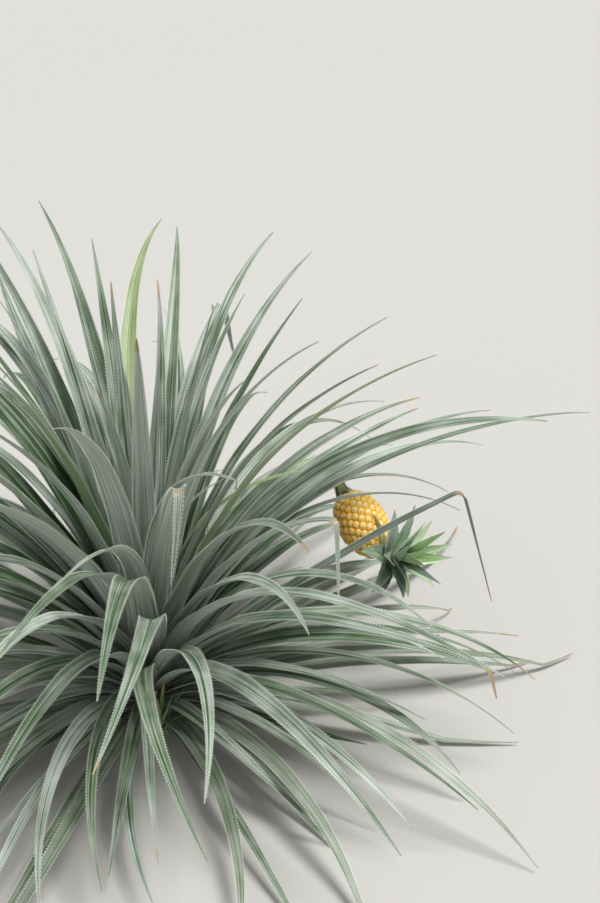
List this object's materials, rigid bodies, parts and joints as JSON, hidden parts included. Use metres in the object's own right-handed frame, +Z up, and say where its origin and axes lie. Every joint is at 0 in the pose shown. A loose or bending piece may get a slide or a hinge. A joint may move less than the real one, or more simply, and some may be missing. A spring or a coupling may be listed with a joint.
{
  "type": "pineapple plant in fruit",
  "caption": "Rosette of long channelled spiny leaves on a short stout stem, arching over to the ground outside, with one ripe golden fruit hanging on a bent stalk and a small side shoot.",
  "frame": {"origin": "centre of the stem's flat cut at ground level", "axes": "+Z up along the stem; the fruit hangs out towards +X and a little towards +Y; the small side shoot stands on the -Y side"},
  "size_m": [1.3783, 1.3453, 0.7925],
  "materials": {
    "leaf": "grey-green leaf with a silvery bloom, satin",
    "old_leaf": "dull grey-green to tan old leaf, matt",
    "young_leaf": "light green young leaf, satin",
    "crown_leaf": "fresh green leaf with a grey bloom, satin",
    "rind": "golden yellow ripe rind with brown flecks, satin",
    "stalk": "green fibrous fruit stalk, satin",
    "stem": "brown fibrous stem with old leaf scars, matt"
  },
  "bodies": {
    "root": {"fruit": "rind", "fruit_crown": "crown_leaf", "fruit_stalk": "stalk", "heart_leaves": "leaf", "leaf_01": "leaf", "leaf_02": "leaf", "leaf_02_end": "leaf", "leaf_03": "leaf", "leaf_04": "leaf", "leaf_04_end": "leaf", "leaf_05": "leaf", "leaf_06": "leaf", "leaf_07": "leaf", "leaf_07_end": "leaf", "leaf_08": "leaf", "leaf_09": "leaf", "leaf_09_end": "leaf", "leaf_10": "leaf", "leaf_11": "leaf", "leaf_12": "leaf", "leaf_13": "leaf", "leaf_13_end": "leaf", "leaf_14": "leaf", "leaf_15": "leaf", "leaf_16": "leaf", "leaf_17": "leaf", "leaf_18": "leaf", "leaf_19": "leaf", "leaf_20": "leaf", "leaf_20_end": "leaf", "leaf_21": "leaf", "leaf_22": "leaf", "leaf_22_end": "leaf", "leaf_23": "leaf", "leaf_24": "leaf", "leaf_25": "leaf", "leaf_26": "leaf", "leaf_26_end": "leaf", "leaf_27": "leaf", "leaf_28": "leaf", "leaf_29": "leaf", "leaf_30": "leaf", "leaf_31": "leaf", "leaf_32": "leaf", "leaf_33": "leaf", "leaf_34": "leaf", "leaf_35": "leaf", "leaf_36": "leaf", "leaf_37": "leaf", "leaf_38": "leaf", "leaf_39": "leaf", "side_shoot": "young_leaf", "skirt_1": "old_leaf", "skirt_2": "old_leaf", "skirt_3": "old_leaf", "skirt_4": "old_leaf", "skirt_5": "old_leaf", "skirt_6": "old_leaf", "stem": "stem"}
  },
  "joints": []
}
